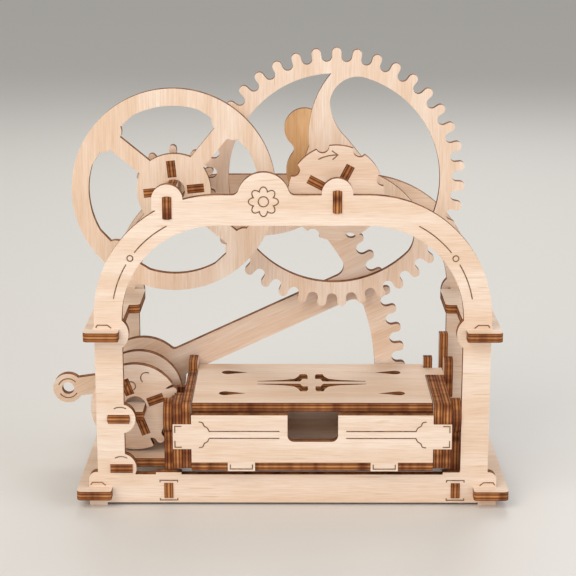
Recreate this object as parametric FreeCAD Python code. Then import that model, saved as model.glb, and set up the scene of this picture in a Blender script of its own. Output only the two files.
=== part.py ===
"""Geared card box: a free-standing plywood mechanism cut from one thickness of sheet.

Turning the crank swings a toothed sector lever, spins a flywheel and tips a lidded box.
X runs to the right, Y to the back and Z up. All sizes are millimetres.
"""

import FreeCAD, Part
import math
import os

# --- driving dimensions -------------------------------------------------------------------

T = 3.5                    # thickness of the plywood that every flat piece is cut from
AXLE_R = 4.4               # half width of an axle bar, rounded to this radius
RUNNING_FIT = 0.08         # radial play of a turning piece on its axle bar
PIN_R = 2.4                # dowels that the box tilts on
SIDE_GAP = 0.35            # free space beside the tilting box

# end frames
LEG_IN_X = 64.9            # inner edge of a leg, from the middle
LEG_W = 10.6
LEG_OUT_X = LEG_IN_X + LEG_W
ARCH_R = 47.0              # outer radius of the arch
BEAM_TOP_FRONT = 122.3
BEAM_TOP_REAR = 118.2
BEAM_DEPTH = 11.5
RAIL_BOTTOM = 1.0
RAIL_TOP = 12.5
FRAME_GAP = 67.0           # clear space between the two end frames
FOOT_X = (LEG_OUT_X - 3.5, LEG_OUT_X + 3.5)
OVERHANG = 5.5             # how far plates stick out past the frames

# side plates
PLATFORM_Z = 67.0
PLATFORM_X = (LEG_IN_X + 1.1, LEG_OUT_X + 3.9)
PLATFORM_WIDE_X = LEG_IN_X - 3.3
PLATFORM_WIDE_Y = (39.0, FRAME_GAP)
BASE_Z = 3.8
BASE_X = (LEG_IN_X + 5.1, LEG_OUT_X + 7.9)
PLATE_CORNER_R = 1.0       # small rounding where a plate meets its slot

# lever
LEVER_X = 2.9 - LEG_IN_X
LEVER_Z = 35.0
LEVER_SLOT_SHIFT = -5.0    # the lever's axle bar steps sideways into the legs
HUB_R = 17.4
HUB_TIP_R = 17.9
HUB_ROOT_R = 14.0
HUB_TEETH = 14             # teeth of the full circle that the hub gear is a part of
HUB_TOOTH_W = 3.2
HUB_PHASE = -2.0
HUB_TOOTHED = (-2.5, 1.35)  # where the hub gear's toothed side starts and ends, in teeth
HUB_DISC_Y = (15.15, 34.5)
SECTOR_Y = 55.5
SECTOR_TEETH = 82          # teeth of the full circle that the sector is a part of
SECTOR_MODULE = 2.57
SECTOR_TIP = 3.5
SECTOR_DEPTH = 5.4
SECTOR_TOOTH_W = 3.3
SECTOR_RIM_R = 96.3
SECTOR_PHASE = 2.92
SECTOR_FIRST, SECTOR_LAST = 0, 11
ARM_ANGLE = 25.0
ARM_W = 11.4
RING_ANGLE = 188.0
RING_REACH = 32.1
RING_R = 6.2
RING_HOLE_R = 2.5
NECK_W = 7.8

# crank shaft
GEAR_ANGLE = 47.17         # direction from the lever's pivot to the crank shaft
PINION_TEETH = 8
PINION_TOOTH_W = 2.3
GEAR_Y = 50.0
GEAR_TEETH = 39
GEAR_MODULE = 2.60
GEAR_TIP_R = 52.6
GEAR_ROOT_R = 47.2
GEAR_TOOTH_W = 3.7
GEAR_RIM_R = 42.5
GEAR_PHASE = 89.21
GEAR_HUB_R = 18.4
GEAR_HUB_Y = 18.5
GEAR_NOTCH_R = 2.6
GEAR_RIB_ANGLE = 62.5
CRANK_Y = 61.0
CRANK_HUB_R = 9.5
CRANK_BELLY = (-7.3, 1.5)  # middle of the handle's broad part, from the shaft
CRANK_BELLY_R = 12.0
CRANK_REACH = 22.4
CRANK_KNOB_R = 8.2
CRANK_ANGLE = 122.1

# a comma-shaped opening of the big gear, between two blades
COMMA_START, COMMA_MIDDLE, COMMA_END = -28.1, 24.0, 75.3    # angles along the rim
COMMA_NOSE, COMMA_CHEEK = (1.7, 38.3), (-2.0, 31.0)
COMMA_THROAT, COMMA_HEEL = (0.0, 23.2), (5.0, 16.4)
COMMA_SOLE, COMMA_BACK = (16.8, 1.9), (26.6, -4.2)

# flywheel
WHEEL_ANGLE = 182.1        # direction from the crank shaft to the flywheel's axle
WHEEL_Y = 37.0
WHEEL_R = 40.3
WHEEL_RIM_R = 33.6
WHEEL_HUB_R = 14.6
WHEEL_SPOKE_W = 6.4
WHEEL_PHASE = 5.5
WHEEL_STEP_R = (4.1, 2.9, 1.0)      # how far inside the rim a spoke's stepped root lies
WHEEL_STEP_ANGLE = (9.6, 11.5, 22.0)  # and how far round from the spoke's middle it runs
WHEEL_TEETH = 10
WHEEL_TOOTH_W = 2.9
TIP_CLEAR = 0.35           # from a tooth's tip to the bottom of the gap it enters

# hub ribs
RIB_IN = AXLE_R + 0.9
RIB_OUT = 12.0
RIB_OUT_PINION = 9.5
KEY_OUT = RIB_IN           # outer radius of the slim tail that drives pinion and crank
RIB_ANGLE_LEVER = 20.5

# tilting box
TILT_Y = 5.5
TILT_GEAR_R = (9.3, 13.4)
TILT_TEETH = 9
TILT_TOOTH_W = 3.2
TILT_SLOT_R = 15.7
TILT_SLOT_ENDS = (-94.0, 60.0)      # angles where the slot round the teeth ends
LEG_PLAY = 0.05            # between the right bracket and the legs
# the box's inside lies between two side plates on the left and two, with a bracket, on the right
BOX_X = (LEVER_X + 16.0 + 2 * T, LEG_IN_X - LEG_PLAY - SIDE_GAP - 3 * T)
BOX_FRONT = -3.0           # front edges of the side plates
BOX_BACK = 54.5
BOX_LOW = 15.7
BOX_TOP = 42.0
PANEL_TOP = 37.6
FLOOR_Z = 15.1
TAB_Z = (24.0, 34.0)
FLOOR_TABS = ((BOX_X[0] + 14.0, BOX_X[0] + 24.5), (BOX_X[1] - 24.0, BOX_X[1] - 13.5))
WINDOW_X = (BOX_X[0] + 37.0, BOX_X[1] - 36.6)
WINDOW_Z = 27.0
WINDOW_CORNER_R = 2.5
BACK_TOP = 32.6
EAR_TOP = 45.4
EAR_FRONT = BOX_BACK - 10.7
TILT_PLATE_BACK = 26.0
TILT_PLATE_CORNER_R = 4.0
PANEL_GAP = 0.1            # play of the front panel between the side plates

# lid
LID_FRONT = 0.5
LID_Z = 37.9
LID_GAP = 0.3
LID_HINGE_Y = BOX_BACK - 7.2
LID_HINGE_R = 2.3
LID_LEVER_Y = (LID_HINGE_Y - 10.3, LID_HINGE_Y - 3.3)
LID_LEVER_Z = (32.0, 48.5)
LID_LEVER_R = (2.0, 3.2)   # roundings of the lever's lower and upper ends
LID_TAB_Y = (LID_LEVER_Y[0] + 1.5, LID_LEVER_Y[1] - 0.5)
NOTCH_FRONT_GAP = 1.1      # room for the lid's drive tab in the right side plates
NOTCH_BACK_GAP = 0.25
NOTCH_LOW_GAP = 0.15
EAR_CORNER_R = 0.6

# one of the lid's four long swept cuts: corners (u, v, radius) from the lid's middle
SWEPT_CUT = (
    (1.5, 5.2, 0.4), (1.5, 9.8, 0.4), (2.0, 11.8, 0.4), (4.6, 11.8, 0.4), (5.2, 8.8, 1.0),
    (6.8, 5.4, 1.0), (11.4, 3.6, 3.0), (21.7, 2.2, 0), (21.7, 1.6, 0), (4.6, 1.6, 0.8),
    (3.6, 5.2, 0.4),
)
DROP_AT = (33.9, 14.5)     # a drop-shaped cut of the lid, from the lid's middle
DROP_TAIL = 8.0
DROP_R = 2.5

# brackets and shelf
BRACKET_LOW_Z = 20.0
BRACKET_TENON_Z = (3.0, 9.0)
BRACKET_LOBE_R = 6.6
POST_Y = (BOX_BACK + 6.5, BOX_BACK + 11.5)
POST_TOP = 52.5
SHELF_Z = 13.3
SHELF_TENON_X = (LEVER_X - 8.6, LEVER_X)

# small features of the frames, the lid and the fillets
CORNER_R = 2.0
LOBE_R = 5.9
LOBE_RISE = 3.0            # the beam's lobes stand this much above their axle bars
LOBE_SHIFT = 0.6
CREST_X = -11.0
CREST_R = 9.9
CREST_DROP = 1.3
CREST_FILLET = 2.5
SWELL_R = 7.0
SWELL_OUT = 2.5
SHOULDER_Z = 13.5
SHOULDER_R = 3.0
COLLAR = 3.2
COLLAR_RISE = 0.9
TENON_PROUD = 0.5
SHELF_Y = 6.6
ARM_FILLET = 4.5
HUB_FILLET = 2.0
CRANK_FILLET = 3.0
GEAR_NOTCH_OUT = 0.4
GEAR_NOTCH_ANGLE = 16.5
SIDE_CORNER = 1.5
HEEL_R = 8.0               # lower back corner of the box's sides, which swings past the lever
CUT_PAST = 1.0             # how far a notch's cutter runs past the edge it opens

# --- values that follow -------------------------------------------------------------------

REAR_Y = T + FRAME_GAP
LEVER_SLOT_X = LEVER_X + LEVER_SLOT_SHIFT
BORE_R = AXLE_R + RUNNING_FIT
SECTOR_PITCH_R = SECTOR_MODULE * SECTOR_TEETH / 2
SECTOR_TIP_R = SECTOR_PITCH_R + SECTOR_TIP
SECTOR_ROOT_R = SECTOR_TIP_R - SECTOR_DEPTH
SHAFT_DISTANCE = SECTOR_MODULE * (SECTOR_TEETH + PINION_TEETH) / 2
WHEEL_DISTANCE = GEAR_MODULE * (GEAR_TEETH + WHEEL_TEETH) / 2
GEAR_X = LEVER_X + SHAFT_DISTANCE * math.cos(math.radians(GEAR_ANGLE))
GEAR_Z = LEVER_Z + SHAFT_DISTANCE * math.sin(math.radians(GEAR_ANGLE))
WHEEL_X = GEAR_X + WHEEL_DISTANCE * math.cos(math.radians(WHEEL_ANGLE))
WHEEL_Z = GEAR_Z + WHEEL_DISTANCE * math.sin(math.radians(WHEEL_ANGLE))
TILT_Z = LEVER_Z
LID_HINGE_Z = LID_Z + T / 2
BRACKET_X = (BOX_X[0] - 2 * T - SIDE_GAP - T, BOX_X[1] + 2 * T + SIDE_GAP)
TILT_RATIO = HUB_TEETH / TILT_TEETH
LEVER_RANGE = 32.0         # degrees that the lever swings
TILT_RANGE = LEVER_RANGE * TILT_RATIO
GEAR_RANGE = LEVER_RANGE * SECTOR_TEETH / PINION_TEETH
WHEEL_RANGE = GEAR_RANGE * GEAR_TEETH / WHEEL_TEETH

# The origin is on the table, under the middle of the whole object.
RING_X = LEVER_X + RING_REACH * math.cos(math.radians(RING_ANGLE)) - RING_R
CENTRE_X = (RING_X + BASE_X[1]) / 2
CENTRE_Y = (REAR_Y + T) / 2


# --- flat shapes, drawn on the sheet with u across and v up ---------------------------------


def vec(u, v, w=0.0):
    return FreeCAD.Vector(u, v, w)


def polar(radius, degrees, centre=(0.0, 0.0)):
    """The point at a radius and an angle from a centre."""
    angle = math.radians(degrees)
    return (centre[0] + radius * math.cos(angle), centre[1] + radius * math.sin(angle))


def slab(edges):
    """A sheet of plywood with the outline that the edges make."""
    return Part.Face(Part.Wire(edges)).extrude(vec(0, 0, T))


def line(start, end):
    return Part.LineSegment(vec(*start), vec(*end)).toShape()


def arc(start, middle, end):
    return Part.Arc(vec(*start), vec(*middle), vec(*end)).toShape()


def rect(u0, u1, v0, v1):
    return Part.makeBox(u1 - u0, v1 - v0, T, vec(u0, v0))


def disc(u, v, radius):
    return Part.makeCylinder(radius, T, vec(u, v))


def rounded(corners):
    """A polygon whose corners (u, v, radius) are rounded by arcs tangent to both sides."""
    edges = []
    starts, ends = [], []
    count = len(corners)
    for i, (u, v, radius) in enumerate(corners):
        here = vec(u, v)
        back = vec(*corners[i - 1][:2]) - here
        ahead = vec(*corners[(i + 1) % count][:2]) - here
        back.normalize()
        ahead.normalize()
        if radius == 0:
            starts.append(here)
            ends.append(here)
            edges.append(None)
            continue
        half = back.getAngle(ahead) / 2
        reach = radius / math.tan(half)
        middle = (back + ahead)
        middle.normalize()
        centre = here + middle * (radius / math.sin(half))
        starts.append(here + back * reach)
        ends.append(here + ahead * reach)
        edges.append(Part.Arc(starts[-1], centre - middle * radius, ends[-1]).toShape())
    outline = []
    for i in range(count):
        if edges[i] is not None:
            outline.append(edges[i])
        following = starts[(i + 1) % count]
        if (following - ends[i]).Length > 1e-6:
            outline.append(Part.LineSegment(ends[i], following).toShape())
    return slab(outline)


def fused(shapes):
    """One solid of several sheets, with no lines left between them."""
    whole = shapes[0].fuse(shapes[1:])
    return whole.removeSplitter()


def rounded_inside(solid, places, radius):
    """Rounds the corners across the sheet's thickness that lie nearest the given places."""
    edges = []
    for place in places:
        upright = [
            e for e in solid.Edges
            if abs(e.Length - T) < 1e-6 and abs(e.Vertexes[0].X - e.Vertexes[1].X) < 1e-6
            and abs(e.Vertexes[0].Y - e.Vertexes[1].Y) < 1e-6
        ]
        near = min(upright, key=lambda e: (vec(e.Vertexes[0].X, e.Vertexes[0].Y) - vec(*place)).Length)
        edges.append(near)
    return solid.makeFillet(radius, edges)


def turned(shape, degrees, centre=(0.0, 0.0)):
    copy = shape.copy()
    copy.rotate(vec(*centre), vec(0, 0, 1), degrees)
    return copy


def slot(angle, r_in, r_out, centre=(0.0, 0.0)):
    """A radial slot, as wide as the sheet is thick."""
    cutter = rect(r_in, r_out, -T / 2, T / 2)
    cutter.translate(vec(*centre))
    return turned(cutter, angle, centre)


def toothed(teeth, tip_r, root_r, tooth_w, phase):
    """A full wheel of round-topped teeth with round-bottomed gaps."""
    pitch = 360.0 / teeth
    cap_r = tooth_w / 2
    cap_at = tip_r - cap_r
    # the gap's half width leaves the tooth as wide at its foot as at its cap
    gap_r = (math.pi * root_r / teeth - cap_r) / (1 - math.pi / teeth)
    gap_at = root_r + gap_r
    edges = []
    for i in range(teeth):
        tooth = phase + i * pitch
        gap = tooth + pitch / 2
        cap_centre = polar(cap_at, tooth)
        gap_centre = polar(gap_at, gap)
        next_centre = polar(cap_at, tooth + pitch)
        before = polar(cap_r, tooth - 90, cap_centre)
        after = polar(cap_r, tooth + 90, cap_centre)
        enter = polar(gap_r, gap - 90, gap_centre)
        leave = polar(gap_r, gap + 90, gap_centre)
        following = polar(cap_r, tooth + pitch - 90, next_centre)
        edges.append(arc(before, polar(tip_r, tooth), after))
        edges.append(line(after, enter))
        edges.append(arc(enter, polar(root_r, gap), leave))
        edges.append(line(leave, following))
    return slab(edges)


def wedge(radius, start, end):
    """A sheet that covers the angles from start to end, out to past the radius."""
    far = radius * 1.6
    steps = max(2, int(math.ceil((end - start) / 40.0)))
    points = [(0.0, 0.0)] + [polar(far, start + (end - start) * i / steps) for i in range(steps + 1)]
    return Part.Face(Part.makePolygon([vec(*p) for p in points + points[:1]])).extrude(vec(0, 0, T))


def meshed_phase(driver_teeth, driver_phase, direction, teeth):
    """The angle of a tooth that makes a wheel mesh with its driver, seen along direction."""
    pitch = 360.0 / driver_teeth
    offset = (driver_phase - direction + pitch / 2) % pitch - pitch / 2
    gap = direction + 180.0 - offset * driver_teeth / teeth
    return gap + 180.0 / teeth


# --- placing a sheet in the object ----------------------------------------------------------


def facing_front(shape, y, centre=(0.0, 0.0)):
    """Stands a sheet up so that it faces the front, with its front face at y."""
    copy = shape.copy()
    copy.rotate(vec(0, 0), vec(1, 0, 0), 90)
    copy.translate(vec(centre[0], y + T, centre[1]))
    return copy


def facing_side(shape, x):
    """Stands a sheet up along Y, from x to x + T, with u to the back and v up."""
    copy = shape.copy()
    copy.rotate(vec(0, 0), vec(1, 1, 1), 120)
    copy.translate(vec(x, 0, 0))
    return copy


def lying(shape, z):
    copy = shape.copy()
    copy.translate(vec(0, 0, z))
    return copy


# --- end frames and the plates that join them -----------------------------------------------


def axle_section(u, v, angle):
    """The cross-section of an axle bar: a strip of plywood with its edges rounded."""
    strip = rect(-AXLE_R, AXLE_R, -T / 2, T / 2).common(disc(0, 0, AXLE_R))
    strip.rotate(vec(0, 0), vec(0, 0, 1), angle)
    strip.translate(vec(u, v))
    return strip


def axle_bar(x, z, angle, y_start, y_end):
    """A bar along Y with an axle's cross-section."""
    section = axle_section(x, z, angle)
    face = min(section.Faces, key=lambda f: f.CenterOfMass.z)
    bar = face.extrude(vec(0, 0, y_end - y_start))
    bar.rotate(vec(0, 0), vec(1, 0, 0), 90)
    bar.translate(vec(0, y_end, 0))
    return bar


def end_frame(beam_top, crest):
    """An arched end frame with its lobes, slots and feet; the front one carries a crest."""
    out_x, in_x = LEG_OUT_X, LEG_IN_X
    outer = rounded([
        (-out_x, RAIL_BOTTOM, 0), (out_x, RAIL_BOTTOM, 0),
        (out_x, beam_top, ARCH_R), (-out_x, beam_top, ARCH_R),
    ])
    inner_r = ARCH_R - (out_x - in_x)
    opening = rounded([
        (-in_x, RAIL_TOP, CORNER_R), (in_x, RAIL_TOP, CORNER_R),
        (in_x, beam_top - BEAM_DEPTH, inner_r), (-in_x, beam_top - BEAM_DEPTH, inner_r),
    ])
    body = outer.cut(opening)
    solid_parts = []
    for x, z in ((WHEEL_X, WHEEL_Z + LOBE_RISE), (GEAR_X, GEAR_Z + LOBE_RISE)):
        solid_parts.append(disc(x, z, LOBE_R))
        solid_parts.append(rect(x - LOBE_R, x + LOBE_R, beam_top - BEAM_DEPTH / 2, z))
    solid_parts.append(disc(LEVER_SLOT_X + LOBE_SHIFT, LEVER_Z, LOBE_R))
    solid_parts.append(disc(LEVER_SLOT_X + LOBE_SHIFT, SHELF_Z + T / 2, LOBE_R))
    if crest:
        solid_parts.append(disc(CREST_X, beam_top - CREST_DROP, CREST_R))
    for side in (-1, 1):
        # a swelling of the leg where the upper platform's slot ends, and the foot's shoulder
        solid_parts.append(disc(side * (in_x + SWELL_R - SWELL_OUT), PLATFORM_Z + T / 2, SWELL_R))
        shoulder = [
            (side * BASE_X[0], RAIL_BOTTOM, 0), (side * FOOT_X[1], RAIL_BOTTOM, 0),
            (side * FOOT_X[1], SHOULDER_Z, SHOULDER_R), (side * BASE_X[0], SHOULDER_Z, 0),
        ]
        solid_parts.append(rounded(shoulder))
        foot = sorted((side * FOOT_X[0], side * FOOT_X[1]))
        solid_parts.append(rect(foot[0], foot[1], 0.0, RAIL_TOP / 2))
    for start, end in ((BRACKET_X[0] - COLLAR, BRACKET_X[0] + T + COLLAR),
                       (BRACKET_X[1] - COLLAR, in_x + COLLAR)):
        solid_parts.append(rect(start, end, RAIL_TOP / 2, RAIL_TOP + COLLAR_RISE))
    body = fused([body] + solid_parts)
    slots = [
        axle_section(WHEEL_X, WHEEL_Z, 90),
        axle_section(GEAR_X, GEAR_Z, 90),
        axle_section(LEVER_SLOT_X, LEVER_Z, 0),
        rect(SHELF_TENON_X[0], SHELF_TENON_X[1], SHELF_Z, SHELF_Z + T),
    ]
    for side in (-1, 1):
        ends = sorted((side * PLATFORM_X[0], side * PLATFORM_X[1]))
        slots.append(rect(ends[0], ends[1], PLATFORM_Z, PLATFORM_Z + T))
        ends = sorted((side * BASE_X[0], side * BASE_X[1]))
        slots.append(rect(ends[0], ends[1], BASE_Z, BASE_Z + T))
    for x in BRACKET_X:
        slots.append(rect(x, x + T, BRACKET_TENON_Z[0], BRACKET_TENON_Z[1]))
    body = body.cut(slots)
    if crest:
        side_x = math.sqrt(CREST_R ** 2 - CREST_DROP ** 2)
        corners = [(CREST_X - side_x, beam_top), (CREST_X + side_x, beam_top)]
        body = rounded_inside(body, corners, CREST_FILLET)
    return body


def upper_platform(side):
    """A long plate that slides into both frames from one side, wider between them."""
    x_in, x_out = side * PLATFORM_X[0], side * PLATFORM_X[1]
    wide = side * PLATFORM_WIDE_X
    back = REAR_Y + T + OVERHANG
    return rounded([
        (x_in, -OVERHANG, PLATE_CORNER_R), (x_out, -OVERHANG, CORNER_R),
        (x_out, back, CORNER_R), (x_in, back, PLATE_CORNER_R),
        (x_in, PLATFORM_WIDE_Y[1], 0), (wide, PLATFORM_WIDE_Y[1], CORNER_R),
        (wide, PLATFORM_WIDE_Y[0], CORNER_R), (x_in, PLATFORM_WIDE_Y[0], 0),
    ])


def base_plate(side):
    x_in, x_out = side * BASE_X[0], side * BASE_X[1]
    back = REAR_Y + T + OVERHANG
    return rounded([
        (x_in, -OVERHANG, PLATE_CORNER_R), (x_out, -OVERHANG, CORNER_R),
        (x_out, back, CORNER_R), (x_in, back, PLATE_CORNER_R),
    ])


def box_bracket(post):
    """The plate beside the box that its pivot turns in, drawn with u to the back."""
    parts = [
        rect(T, REAR_Y, RAIL_BOTTOM, BRACKET_LOW_Z),
        rect(-TENON_PROUD, REAR_Y + T + TENON_PROUD, BRACKET_TENON_Z[0], BRACKET_TENON_Z[1]),
        rect(T, TILT_Y + BRACKET_LOBE_R, BRACKET_LOW_Z - T, TILT_Z),
        disc(TILT_Y, TILT_Z, BRACKET_LOBE_R),
    ]
    if post:
        parts.append(rect(POST_Y[0], POST_Y[1], BRACKET_LOW_Z - T, POST_TOP))
    plate = fused(parts).cut(disc(TILT_Y, TILT_Z, PIN_R + RUNNING_FIT))
    return rounded_inside(plate, [(TILT_Y + BRACKET_LOBE_R, BRACKET_LOW_Z)], CORNER_R)


def lower_shelf():
    """The shelf under the lever's hub, from the left legs to the left bracket."""
    tenons = rect(SHELF_TENON_X[0], SHELF_TENON_X[1], -TENON_PROUD, REAR_Y + T + TENON_PROUD)
    return fused([tenons, rect(SHELF_TENON_X[0], BRACKET_X[0], SHELF_Y, REAR_Y - SHELF_Y + T)])


def lever_axle_bar():
    """The lever's flat axle bar, whose ends step sideways into the left legs."""
    start, end = -TENON_PROUD, REAR_Y + T + TENON_PROUD
    return fused([
        axle_bar(LEVER_X, LEVER_Z, 0, T, REAR_Y),
        axle_bar(LEVER_SLOT_X, LEVER_Z, 0, start, T),
        axle_bar(LEVER_SLOT_X, LEVER_Z, 0, REAR_Y, end),
    ])


def make_stand():
    end = REAR_Y + T + TENON_PROUD
    nodes = {
        "front_frame": facing_front(end_frame(BEAM_TOP_FRONT, True), 0.0),
        "rear_frame": facing_front(end_frame(BEAM_TOP_REAR, False), REAR_Y),
        "lower_shelf": lying(lower_shelf(), SHELF_Z),
        "lever_axle_bar": lever_axle_bar(),
        "flywheel_axle_bar": axle_bar(WHEEL_X, WHEEL_Z, 90, -TENON_PROUD, end),
        "gear_axle_bar": axle_bar(GEAR_X, GEAR_Z, 90, -TENON_PROUD, end),
        "box_bracket_left": facing_side(box_bracket(False), BRACKET_X[0]),
        "box_bracket_right": facing_side(box_bracket(True), BRACKET_X[1]),
    }
    for name, side in (("left", -1), ("right", 1)):
        nodes["upper_platform_" + name] = lying(upper_platform(side), PLATFORM_Z)
        nodes["base_plate_" + name] = lying(base_plate(side), BASE_Z)
    return nodes


# --- hubs: discs joined by four radial ribs --------------------------------------------------


def hub_slots(angle, r_in, r_out):
    return [slot(angle + 90 * i, r_in, r_out) for i in range(4)]


def rib(steps):
    """A radial rib drawn with u outwards and v to the back, from steps (v0, v1, r0, r1)."""
    return fused([rect(r0, r1, v0, v1) for v0, v1, r0, r1 in steps])


def rib_set(name, steps, angle, x, z):
    """Four ribs around an axle along Y at (x, z)."""
    nodes = {}
    for i in range(4):
        piece = rib(steps)
        piece.translate(vec(0, 0, -T / 2))
        around = angle + 90 * i
        piece.rotate(vec(0, 0), vec(0, 1, 0), -around)
        piece.translate(vec(x, 0, z))
        nodes["%s_%d" % (name, i + 1)] = piece
    return nodes


# --- lever body ------------------------------------------------------------------------------


def sector_lever():
    """A long arm with a toothed arc at one end and a ring to press at the other."""
    pitch = 360.0 / SECTOR_TEETH
    start = SECTOR_PHASE + (SECTOR_FIRST - 0.5) * pitch
    end = SECTOR_PHASE + (SECTOR_LAST + 0.5) * pitch
    wheel = toothed(SECTOR_TEETH, SECTOR_TIP_R, SECTOR_ROOT_R, SECTOR_TOOTH_W, SECTOR_PHASE)
    rim = wheel.cut(disc(0, 0, SECTOR_RIM_R)).common(wedge(SECTOR_TIP_R, start, end))
    arm = turned(rect(0, SECTOR_RIM_R + T, -ARM_W / 2, ARM_W / 2), ARM_ANGLE)
    neck = turned(rect(0, RING_REACH, -NECK_W / 2, NECK_W / 2), RING_ANGLE)
    ring_at = polar(RING_REACH, RING_ANGLE)
    body = fused([rim, arm, neck, disc(ring_at[0], ring_at[1], RING_R), disc(0, 0, HUB_R)])
    half = math.degrees(math.asin(ARM_W / 2 / SECTOR_RIM_R))
    corners = [polar(SECTOR_RIM_R, ARM_ANGLE + side * half) for side in (-1, 1)]
    body = rounded_inside(body, corners, ARM_FILLET)
    half = math.degrees(math.asin(ARM_W / 2 / HUB_R))
    corners = [polar(HUB_R, ARM_ANGLE + side * half) for side in (-1, 1)]
    half = math.degrees(math.asin(NECK_W / 2 / HUB_R))
    corners += [polar(HUB_R, RING_ANGLE + side * half) for side in (-1, 1)]
    body = rounded_inside(body, corners, HUB_FILLET)
    holes = [disc(0, 0, BORE_R), disc(ring_at[0], ring_at[1], RING_HOLE_R)]
    return body.cut(holes + hub_slots(RIB_ANGLE_LEVER, RIB_IN, RIB_OUT))


def lever_hub_gear():
    """The hub's front disc, whose right side has teeth that drive the box at right angles."""
    pitch = 360.0 / HUB_TEETH
    start, end = [HUB_PHASE + teeth * pitch for teeth in HUB_TOOTHED]
    toothed_side = wedge(HUB_TIP_R, start, end)
    wheel = toothed(HUB_TEETH, HUB_TIP_R, HUB_ROOT_R, HUB_TOOTH_W, HUB_PHASE)
    body = fused([wheel.common(toothed_side), disc(0, 0, HUB_R).cut(toothed_side)])
    return body.cut([disc(0, 0, BORE_R)] + hub_slots(RIB_ANGLE_LEVER, RIB_IN, RIB_OUT))


def make_lever():
    centre = (LEVER_X, LEVER_Z)
    rear_disc = disc(0, 0, HUB_R).cut([disc(0, 0, BORE_R)] + hub_slots(RIB_ANGLE_LEVER, RIB_IN, RIB_OUT))
    first, second = HUB_DISC_Y
    nodes = {
        "lever_hub_gear": facing_front(lever_hub_gear(), first, centre),
        "lever_hub_disc": facing_front(rear_disc, second, centre),
        "sector_lever": facing_front(sector_lever(), SECTOR_Y, centre),
    }
    steps = [
        (first, SECTOR_Y + T, RIB_IN, RIB_OUT),
        (first + T, second, BORE_R, RIB_OUT),
        (second + T, SECTOR_Y, BORE_R, RIB_OUT),
    ]
    nodes.update(rib_set("lever_hub_rib", steps, RIB_ANGLE_LEVER, LEVER_X, LEVER_Z))
    return nodes


# --- crank shaft body ------------------------------------------------------------------------


def gear_opening():
    """One of the big gear's three comma-shaped openings."""
    start, end = polar(GEAR_RIM_R, COMMA_START), polar(GEAR_RIM_R, COMMA_END)
    return slab([
        arc(start, polar(GEAR_RIM_R, COMMA_MIDDLE), end),
        arc(end, COMMA_NOSE, COMMA_CHEEK),
        arc(COMMA_CHEEK, COMMA_THROAT, COMMA_HEEL),
        line(COMMA_HEEL, COMMA_SOLE),
        arc(COMMA_SOLE, COMMA_BACK, start),
    ])


def big_gear():
    body = toothed(GEAR_TEETH, GEAR_TIP_R, GEAR_ROOT_R, GEAR_TOOTH_W, GEAR_PHASE)
    opening = gear_opening()
    cuts = [turned(opening, 120 * i) for i in range(3)]
    cuts.append(disc(0, 0, BORE_R))
    return body.cut(cuts + hub_slots(GEAR_RIB_ANGLE, 0.0, RIB_OUT))


def gear_hub_disc():
    """The crank shaft's front disc with eight round notches in its edge."""
    cuts = [disc(0, 0, BORE_R)]
    for i in range(8):
        u, v = polar(GEAR_HUB_R + GEAR_NOTCH_OUT, GEAR_NOTCH_ANGLE + 45 * i)
        cuts.append(disc(u, v, GEAR_NOTCH_R))
    return disc(0, 0, GEAR_HUB_R).cut(cuts + hub_slots(GEAR_RIB_ANGLE, RIB_IN, RIB_OUT))


def keyed_bore():
    """The cross-shaped hole that the slim tails of the four ribs drive."""
    return fused([disc(0, 0, BORE_R)] + hub_slots(GEAR_RIB_ANGLE, 0.0, KEY_OUT))


def sector_pinion():
    phase = meshed_phase(SECTOR_TEETH, SECTOR_PHASE, GEAR_ANGLE, PINION_TEETH)
    root_r = SHAFT_DISTANCE - SECTOR_TIP_R - TIP_CLEAR
    tip_r = SHAFT_DISTANCE - SECTOR_ROOT_R - TIP_CLEAR
    return toothed(PINION_TEETH, tip_r, root_r, PINION_TOOTH_W, phase).cut(keyed_bore())


def crank_handle():
    """A waisted plate with a round grip, reached from behind."""
    knob = polar(CRANK_REACH, CRANK_ANGLE)
    body = fused([disc(0, 0, CRANK_HUB_R), disc(*CRANK_BELLY, CRANK_BELLY_R), disc(*knob, CRANK_KNOB_R)])
    # the two corners of the waist, where the grip's circle crosses the belly's
    across, up = knob[0] - CRANK_BELLY[0], knob[1] - CRANK_BELLY[1]
    distance = math.hypot(across, up)
    along = (distance ** 2 + CRANK_BELLY_R ** 2 - CRANK_KNOB_R ** 2) / (2 * distance)
    half = math.degrees(math.acos(along / CRANK_BELLY_R))
    towards = math.degrees(math.atan2(up, across))
    corners = [polar(CRANK_BELLY_R, towards + side * half, CRANK_BELLY) for side in (-1, 1)]
    return rounded_inside(body, corners, CRANK_FILLET).cut(keyed_bore())


def make_crank_shaft():
    centre = (GEAR_X, GEAR_Z)
    nodes = {
        "gear_hub_disc": facing_front(gear_hub_disc(), GEAR_HUB_Y, centre),
        "big_gear": facing_front(big_gear(), GEAR_Y, centre),
        "sector_pinion": facing_front(sector_pinion(), SECTOR_Y, centre),
        "crank_handle": facing_front(crank_handle(), CRANK_Y, centre),
    }
    steps = [
        (GEAR_HUB_Y, GEAR_Y + T, RIB_IN, RIB_OUT),
        (GEAR_HUB_Y + T, GEAR_Y + T, BORE_R, RIB_OUT),
        (GEAR_Y, CRANK_Y + T, BORE_R, KEY_OUT),
    ]
    nodes.update(rib_set("gear_hub_rib", steps, GEAR_RIB_ANGLE, GEAR_X, GEAR_Z))
    return nodes


# --- flywheel body ---------------------------------------------------------------------------


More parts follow.
